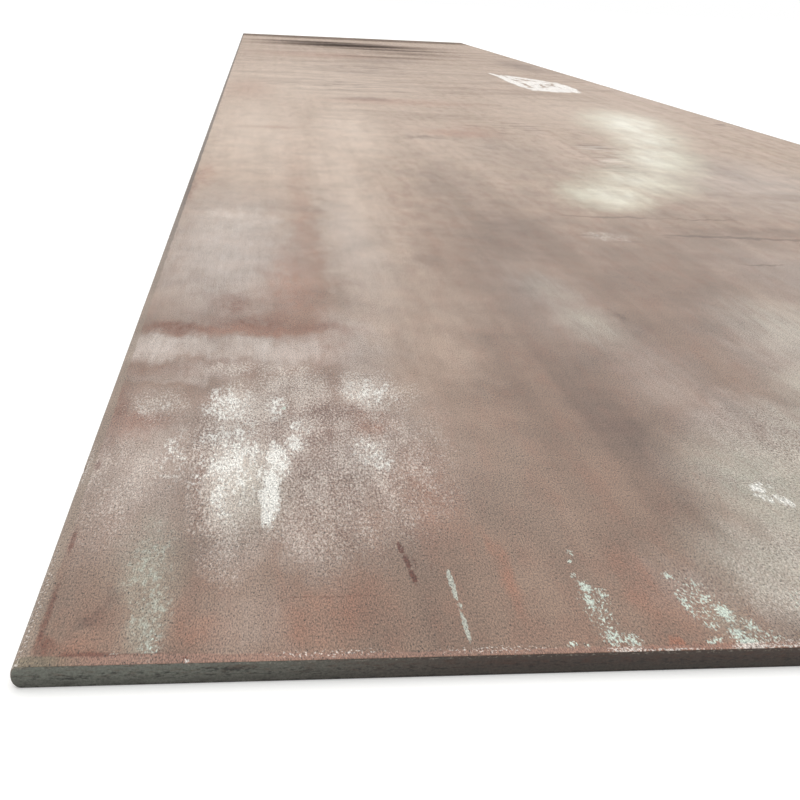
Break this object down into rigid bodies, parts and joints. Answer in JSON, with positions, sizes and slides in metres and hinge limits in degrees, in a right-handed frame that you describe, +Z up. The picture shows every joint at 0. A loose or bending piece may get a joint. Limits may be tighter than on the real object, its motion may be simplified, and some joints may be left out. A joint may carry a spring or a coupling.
{
  "type": "steel plate",
  "caption": "Large hot-rolled steel plate with rolled long edges and sheared ends, rusty mill scale, lying flat as raw stock.",
  "frame": {"origin": "centre of the underside, on the surface that the plate lies on", "axes": "+Z up out of the top face, +Y along the rolling direction from the near sheared end to the far one, +X across the width"},
  "size_m": [2.438, 12.192, 0.022],
  "materials": {
    "mill_scale_steel": "matte"
  },
  "bodies": {
    "root": {"steel_plate": "mill_scale_steel"}
  },
  "joints": []
}
